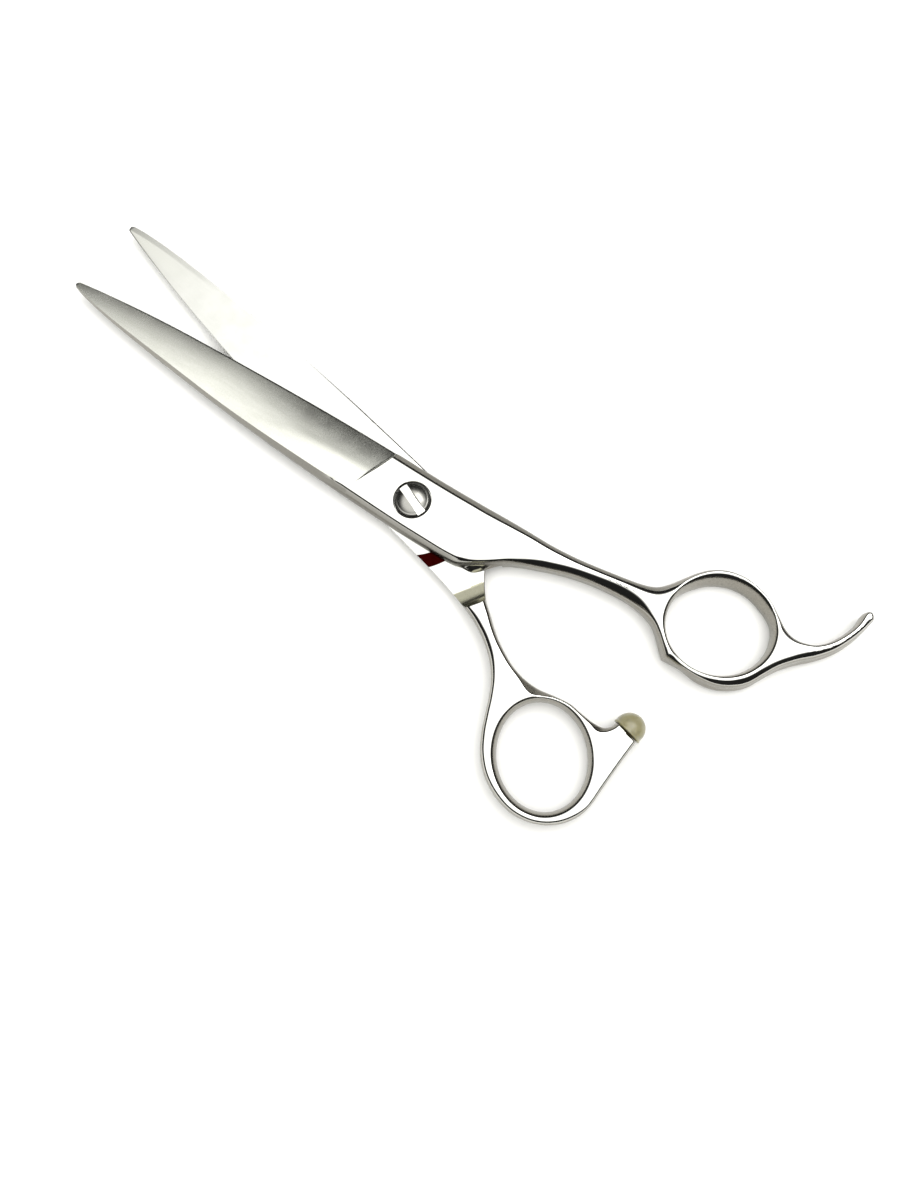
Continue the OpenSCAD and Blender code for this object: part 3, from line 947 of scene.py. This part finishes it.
def rubber(name):
    """The bumper: clouded translucent rubber with dust on it."""
    m = Look(name, Subsurface_Weight=0.55, Subsurface_Scale=0.0022,
             Subsurface_Radius=(1.0, 0.9, 0.55), Transmission_Weight=0.12, IOR=1.42,
             Coat_Weight=0.35, Coat_Roughness=0.12)
    where = m.place()
    cloud = m.noise(where, 0.5, 3)
    dust = m.noise(where, 6.0, 4, 0.7)
    tone = m.blend(m.spread(cloud, 0.35, 0.7, 0, 1), (0.33, 0.305, 0.175), (0.24, 0.22, 0.13))
    tone = m.blend(m.spread(dust, 0.62, 0.75, 0, 0.5), tone, (0.55, 0.53, 0.40))
    return m.set(Base_Color=tone, Roughness=m.spread(dust, 0.3, 0.7, 0.26, 0.44),
                 Normal=m.bump(dust, 0.12, 0.02, m.bump(cloud, 0.15, 0.1)))


TURN = math.radians(OPEN)
# the last number, under, sets how dark the painted shade on some outer walls is
steel_f = polished("steel_polished_finger", 0.0, F_HOLE[0], 0.62)
steel_t = polished("steel_polished_thumb", TURN, under=0.88)
ground_f, ground_t = ground_steel("steel_ground_finger"), ground_steel("steel_ground_thumb", TURN)
inner_f, inner_t = inner_steel("steel_inner_finger"), inner_steel("steel_inner_thumb", TURN, True)
# the step's ground steel, darker and warmer: painted shade
shaded_step_look = ground_steel("steel_step_painted_shade", TURN, (0.72, 0.70, 0.58))
screw_look = turned_steel("screw_turned_steel")
# the black washer's own colour, also used as painted shade in the screw's recess and slot
black_washer_and_shade_look = speckled("washer_black", 3.0, (0.45, 0.8), ((0.012, 0.012, 0.012),
                       (0.06, 0.055, 0.05)), (0.35, 0.6), 0.2, Metallic=0.6)
bush_look = speckled("bush_bronze", 5.0, (0.35, 0.7), ((0.30, 0.17, 0.06), (0.52, 0.33, 0.14)),
                     (0.3, 0.5), 0.3, Metallic=1.0)
ride_look = speckled("ride_red", 4.0, (0.4, 0.7), ((0.13, 0.006, 0.012), (0.20, 0.012, 0.02)),
                     (0.3, 0.5), 0.15, Coat_Weight=0.2)
bumper_look = rubber("bumper_rubber")


# -------- outlines of the two halves
def mirror(points):
    return [(x, -y) for x, y in points]


def flip(points):
    """Mirrored and the other way round, which keeps an outline counter-clockwise."""
    return mirror(points)[::-1]


finger_line = np.concatenate([bend(BACK), bend(F_LOW), bend(F_RING), bend(EDGE), [EDGE[-1]]])
thumb_line = np.concatenate([bend(flip(EDGE)), bend(T_LOW), [T_LOW[-1]], bend(T_BACK),
                             bend(flip(BACK)), [(-88.9, 0.7)]])
finger = FingerHalf(finger_line, F_HOLE)
thumb = ThumbHalf(thumb_line, T_HOLE)

# -------- handles
# the corners are the box that the grid fills
handle("finger_handle_steel", finger, (WELD - 0.7, 0.4, -0.4), (87.4, 31.4, 6.6),
       "finger_half", ["finger_handle"], [steel_f])
handle("thumb_handle_steel", thumb, (WELD - 0.7, -30.2, -0.4), (67.2, -1.2, 6.6),
       "thumb_half", ["thumb_handle"], [steel_t])


# -------- blades
def upto_weld(*parts):
    p = np.concatenate([bend(q) for q in parts])
    return p[p[:, 0] < WELD + 1.5]


def drum(r, low, high):
    """A cutter for a round hole about the pivot."""
    return lathe([(0, low), (r, low), (r, high), (0, high)])


finger_blade = Blade(finger, upto_weld(BACK, F_LOW), upto_weld(EDGE[::-1], F_RING[::-1]),
                     step_x=21.8, step_turn=0, step_len=0.1, turned=False)
thumb_blade = Blade(thumb, upto_weld(BACK, flip(T_BACK)), upto_weld(EDGE[::-1], mirror(T_LOW)),
                    step_x=20.2, step_turn=22, step_len=4.1, turned=True)
sink = lathe([(0, SINK_Z), (SINK_R - 0.05, SINK_Z), (SINK_R - 0.05, TOP - 0.08),
              (SINK_R + 0.03, TOP), (SINK_R + 0.03, TOP + 1), (0, TOP + 1)])
finger_blade.make("finger_blade_steel", [sink, drum(2.79, 2, 5.3)], "finger_half",
                  "finger_blade", [steel_f, ground_f, inner_f, shaded_step_look, black_washer_and_shade_look])
# the ride washer's recess, the screw's hole and the nut's recess
bores = [drum(4.51, 2.68, 4), drum(2.06, 1, 3), drum(3.77, -1, 1.5)]
thumb_blade.make("thumb_blade_steel", [(turn_over(p), f) for p, f in bores], "thumb_half",
                 "thumb_blade", [steel_t, ground_t, inner_t, shaded_step_look])

# -------- pivot
DOME_R = HEAD_R - 0.32
SLOT_W, SLOT_Z = 1.7, 6.15   # the slot's width and the height of its floor
head = [(0, 0.3), (1.85, 0.3), (2.0, 0.45), (2.0, 5.42), (2.1, 5.52), (HEAD_R - 0.1, 5.52),
        (HEAD_R, 5.62), (HEAD_R, 6.2), (HEAD_R - 0.04, 6.32), (HEAD_R - 0.12, 6.42),
        (HEAD_R - 0.24, 6.5)]
# the dome, from the edge to the middle
head += [(DOME_R * (1 - i / 18), 6.52 + 0.86 * (1 - (1 - i / 18) ** 2.3)) for i in range(19)]
slot = block((-5, -SLOT_W / 2, SLOT_Z), (5, SLOT_W / 2, 8), -SLOT_TURN)
p, f = ease_edges(*carve(*lathe(head), [slot]), width=0.06, degrees=40, low=6.0)


def screw_face(corners):
    """0 on the turned steel, 1 on the slot's floor, 2 on its walls, which get the black look as
    painted shade.
    """
    x, y, z = corners.mean(0)
    off = x * math.sin(math.radians(SLOT_TURN)) + y * math.cos(math.radians(SLOT_TURN))
    if abs(off) > SLOT_W / 2 + 0.01 or z < SLOT_Z - 0.05:
        return 0
    return 1 if np.ptp(corners[:, 2]) < 0.02 else 2


finish_mesh("pivot_screw_steel", p, f, "screw", ["pivot_screw"], "screw_steel",
            [screw_look, steel_f, black_washer_and_shade_look], mat_of=[screw_face(p[q]) for q in f])
finish_mesh("washer_black_disc", *lathe(ring(2.2, 3.7, 5.2, 5.5, 0.06)), "finger_half",
            ["disc_washer"], "dark_washer", [black_washer_and_shade_look])
finish_mesh("bush_sleeve", *lathe(ring(2.03, 2.78, 3.14, 5.18, 0.12)), "finger_half",
            ["pivot_bush"], "bush_bronze", [bush_look])
finish_mesh("ride_washer_disc", *lathe(ring(2.08, 4.5, 2.7, 3.1, 0.08)), "thumb_half",
            ["ride_washer"], "ride_polymer", [ride_look])
nut = [(0, 0.06), (3.55, 0.06), (3.75, 0.22), (3.75, 1.36), (3.62, 1.48), (0, 1.48)]
holes = [lathe([(0, -1), (0.5, -1), (0.5, 0.8), (0, 1.0)], 32, (x, 0)) for x in (-2.9, 2.9)]
finish_mesh("pivot_nut_steel", *carve(*lathe(nut), holes), "thumb_half", ["pivot_nut"],
            "screw_steel", [screw_look])

# -------- bumper
rub = [(0, -0.02), (2.55, -0.02), (2.95, 0.02), (3.08, 0.14), (3.08, 0.36), (2.98, 0.52),
       (2.96, 0.7)] + [(2.97 * math.cos(a), 1.0 + 3.0 * math.sin(a))
                       for a in np.linspace(0, math.pi / 2, 20)]
p, f = lathe(rub[:-1] + [(0, 4.0)], 64, axis="y")
finish_mesh("bumper_rubber_cap", p + (*SEAT, SEAT_Z), f, "thumb_half", ["bumper"],
            "bumper_rubber", [bumper_look], 40)

# -------- floor, light and camera
FLOOR = 1.6   # half its side, in metres
floor = add("floor", new_mesh("floor", [(-FLOOR, -FLOOR, 0), (FLOOR, -FLOOR, 0),
                                        (FLOOR, FLOOR, 0), (-FLOOR, FLOOR, 0)], [(0, 1, 2, 3)]))
pale = bpy.data.materials.new("floor_pale")
pale.use_nodes = True
shader = pale.node_tree.nodes["Principled BSDF"]
shader.inputs["Base Color"].default_value = (0.975, 0.97, 0.95, 1)
shader.inputs["Roughness"].default_value = 0.6
shader.inputs["Specular IOR Level"].default_value = 0.15
floor.data.materials.append(pale)

# a soft bright sky over a dark band low down, which gives the steel its dark lines
world = bpy.data.worlds.new("studio")
bpy.context.scene.world = world
world.use_nodes = True
sky = world.node_tree
where = sky.nodes.new("ShaderNodeTexCoord").outputs["Generated"]
split = sky.nodes.new("ShaderNodeSeparateXYZ")
bands = sky.nodes.new("ShaderNodeValToRGB")
sky.links.new(where, split.inputs[0])
sky.links.new(split.outputs["Z"], bands.inputs["Fac"])
# height, 0 at the horizon and 1 straight up, and brightness there
stops = [(0.0, 0.05), (0.05, 0.006), (0.54, 0.012), (0.62, 0.14), (0.70, 0.60), (0.78, 1.0)]
for i, (at, level) in enumerate(stops):
    e = bands.color_ramp.elements[i] if i < 2 else bands.color_ramp.elements.new(at)
    e.position = at
    e.color = (level, level, level * 0.985, 1)
light = sky.nodes["Background"]
sky.links.new(bands.outputs["Color"], light.inputs["Color"])
light.inputs["Strength"].default_value = 2.2
# a plain pale backdrop where the sky itself is in view
backdrop = sky.nodes.new("ShaderNodeBackground")
backdrop.inputs["Color"].default_value = (0.93, 0.93, 0.92, 1)
either = sky.nodes.new("ShaderNodeMixShader")
sky.links.new(sky.nodes.new("ShaderNodeLightPath").outputs["Is Camera Ray"], either.inputs[0])
sky.links.new(light.outputs[0], either.inputs[1])
sky.links.new(backdrop.outputs[0], either.inputs[2])
sky.links.new(either.outputs[0], sky.nodes["World Output"].inputs["Surface"])

# a soft key light from behind the blades' backs, aimed at the pivot
key_data = bpy.data.lights.new("key", "AREA")
key_data.shape = "RECTANGLE"
key_data.size, key_data.size_y = 0.6, 0.5
key_data.energy = 2.4
key = add("key", key_data)
key.location = (0.10, 0.34, 0.75)
key.rotation_euler = (-key.location).to_track_quat("-Z", "Y").to_euler()

# the photograph's view; the matrix's columns are the camera's right, up and backward
cam_data = bpy.data.cameras.new("camera")
cam_data.lens, cam_data.sensor_width, cam_data.sensor_fit = 30.0, 36.0, "AUTO"
cam_data.clip_start = 0.005
camera = add("camera", cam_data)
view = Matrix(((0.8206, -0.5467, 0.1667), (0.5668, 0.8159, -0.1142), (-0.0735, 0.1882, 0.9793)))
camera.matrix_world = Matrix.Translation((0.04997, -0.03457, 0.19574)) @ view.to_4x4()
bpy.context.scene.camera = camera
bpy.context.scene.view_settings.view_transform = "Standard"
